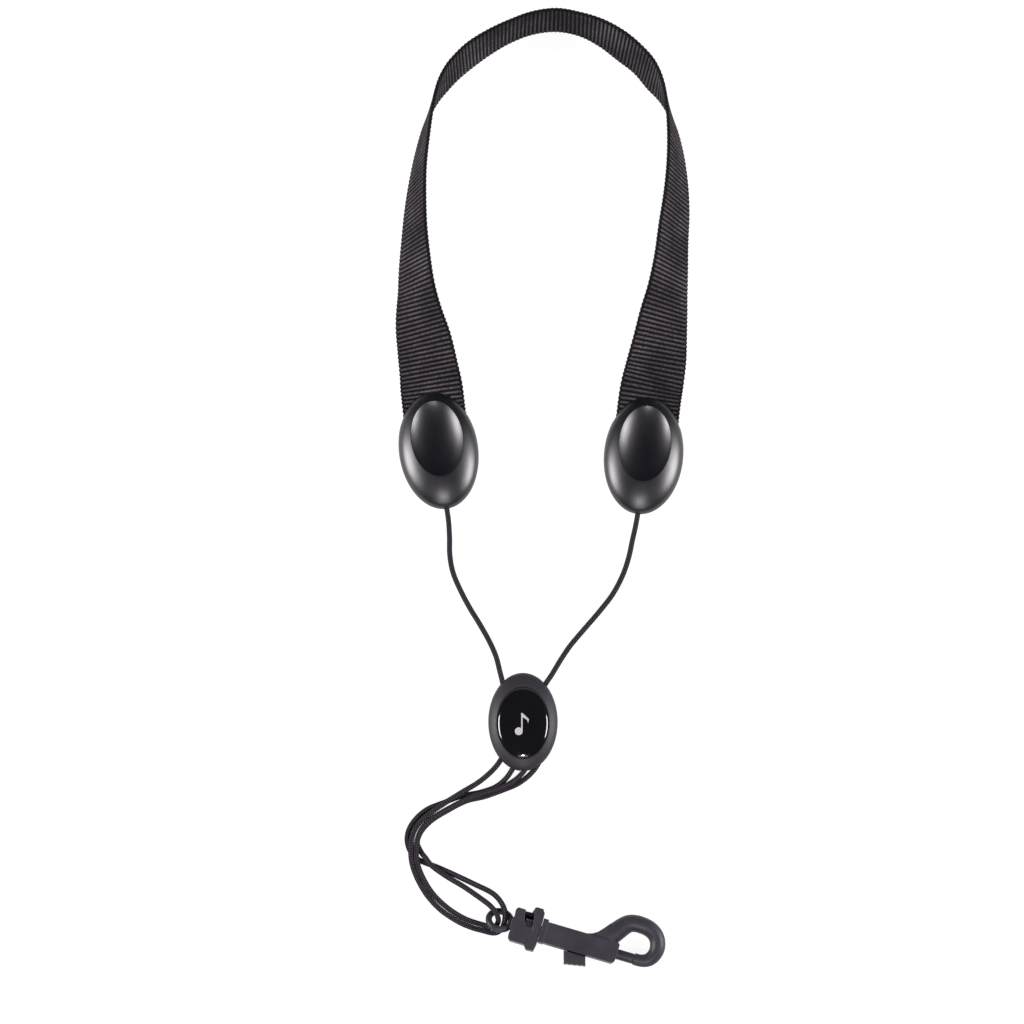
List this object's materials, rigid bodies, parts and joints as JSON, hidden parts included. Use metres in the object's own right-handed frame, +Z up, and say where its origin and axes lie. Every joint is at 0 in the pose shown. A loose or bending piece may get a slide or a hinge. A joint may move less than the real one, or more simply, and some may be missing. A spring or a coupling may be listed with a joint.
{
  "type": "saxophone_neck_strap",
  "caption": "Saxophone neck strap lying flat: ribbed webbing band, two oval cap shells with dished faces, braided cord through an oval slider, and a swivel snap hook",
  "frame": {"origin": "on the surface the strap lies on, under the middle of its bounding box", "axes": "+Y runs from the hook to the top of the neck loop, +X to the right seen from above, +Z up from the surface"},
  "size_m": [0.1521, 0.4873, 0.0321],
  "materials": {
    "webbing": "tight cross-ribbed woven webbing, matt black",
    "cord": "fine braided cord, dark charcoal",
    "cap_plastic": "satin black moulded plastic",
    "slider_plastic": "satin dark grey moulded plastic",
    "badge_gloss": "gloss black domed insert",
    "emblem_silver": null,
    "hook_plastic": "satin dark grey moulded plastic",
    "steel": "plain drawn steel, hidden inside"
  },
  "bodies": {
    "neck_band": {"webbing_band": "webbing", "left_cap_front": "cap_plastic", "left_cap_back": "cap_plastic", "left_band_pins": "steel", "left_cord_knot": "cord", "right_cap_front": "cap_plastic", "right_cap_back": "cap_plastic", "right_band_pins": "steel", "right_cord_knot": "cord", "cord_upper_left": "cord", "cord_upper_right": "cord"},
    "slider": {"slider_front": "slider_plastic", "slider_back": "slider_plastic", "slider_badge": "badge_gloss", "badge_emblem": "emblem_silver", "slider_peg": "steel", "slider_cord_left": "cord", "slider_cord_right": "cord", "slider_cord_turn": "cord", "cord_lower_a": "cord", "cord_lower_b": "cord", "cord_lower_c": "cord", "cord_lower_d": "cord"},
    "cord_bights": {"eye_bight_outer": "cord", "eye_bight_inner": "cord"},
    "eye": {"swivel_eye": "hook_plastic"},
    "hook": {"hook_body": "hook_plastic", "bolt_spring": "steel"},
    "bolt": {"hook_bolt": "hook_plastic"}
  },
  "joints": [
    {"name": "slider_travel", "type": "slide", "parent": "neck_band", "child": "slider", "axis": [0, 1, 0], "range_m": [-0.08, 0.07], "deforming": ["cord_upper_left", "cord_upper_right", "cord_lower_a", "cord_lower_b", "cord_lower_c", "cord_lower_d"]},
    {"name": "eye_travel", "type": "slide", "parent": "slider", "child": "cord_bights", "axis": [0, 1, 0], "range_m": [-0.036, 0.041]},
    {"name": "eye_tilt", "type": "hinge", "parent": "cord_bights", "child": "eye", "pos_m": [-0.02717, -0.21969, 0.0052], "axis": [-0.2354, -0.805, 0.5446], "range_deg": [0, 60], "deforming": ["eye_bight_outer", "eye_bight_inner"]},
    {"name": "hook_swivel", "type": "hinge", "parent": "eye", "child": "hook", "pos_m": [-0.0004, -0.2272, 0.0052], "axis": [0.9598, -0.2807, 0], "continuous": true},
    {"name": "bolt_slide", "type": "slide", "parent": "hook", "child": "bolt", "axis": [-0.9598, 0.2807, 0], "range_m": [0, 0.0075], "stiffness_N_per_m": 400, "springref_m": -0.006, "deforming": ["bolt_spring"]}
  ],
  "couplings": [
    {"joint": "eye_travel", "follows": "slider_travel", "ratio": -0.5}
  ]
}
